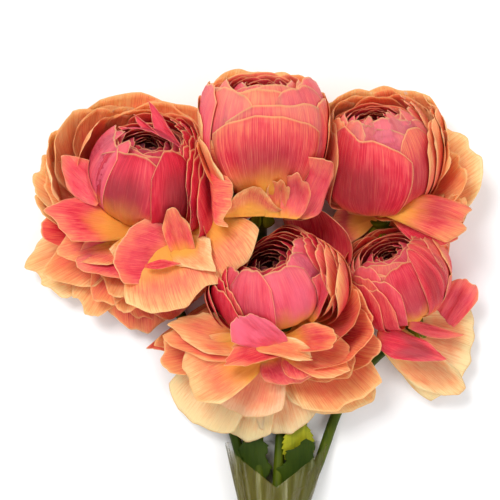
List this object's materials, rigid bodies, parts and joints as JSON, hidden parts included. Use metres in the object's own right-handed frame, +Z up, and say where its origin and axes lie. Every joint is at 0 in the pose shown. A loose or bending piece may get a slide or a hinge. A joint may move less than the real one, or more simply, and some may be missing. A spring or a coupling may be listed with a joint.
{
  "type": "ranunculus bouquet",
  "caption": "Gathered ranunculus blooms with tightly wrapped hearts, loose ruffled outer petals, cut stems and leaves in a clear film sleeve, laid down flat.",
  "frame": {"origin": "on the table plane, under the middle of the whole bunch's bounding box", "axes": "+Z up from the table, +Y from the cut stems to the flower heads, +X to the right as seen from above"},
  "size_m": [0.2346, 0.2892, 0.0707],
  "materials": {
    "left_heart": "satin petal, crimson to coral with yellow at its foot",
    "left_skirt": "satin petal, orange to cream",
    "crown_heart": "satin petal, crimson to mauve with a peach rim",
    "crown_skirt": "satin petal, peach with pink edges",
    "right_heart": "satin petal, crimson to coral",
    "right_skirt": "satin petal, coral and tan",
    "front_heart": "satin petal, deep crimson opening out to rose pink",
    "front_skirt": "satin petal, coral, peach and cream",
    "small_heart": "satin petal, crimson to rose",
    "small_skirt": "satin petal, peach and cream with pink",
    "green": "waxy green stem, sepals and leaves",
    "film": "clear brown wrapping film"
  },
  "bodies": {
    "root": {"left_heart": "left_heart", "left_skirt": "left_skirt", "left_stem": "green", "crown_heart": "crown_heart", "crown_skirt": "crown_skirt", "crown_stem": "green", "right_heart": "right_heart", "right_skirt": "right_skirt", "right_stem": "green", "front_heart": "front_heart", "front_skirt": "front_skirt", "front_stem": "green", "small_heart": "small_heart", "small_skirt": "small_skirt", "small_stem": "green", "film_sleeve": "film"}
  },
  "joints": []
}
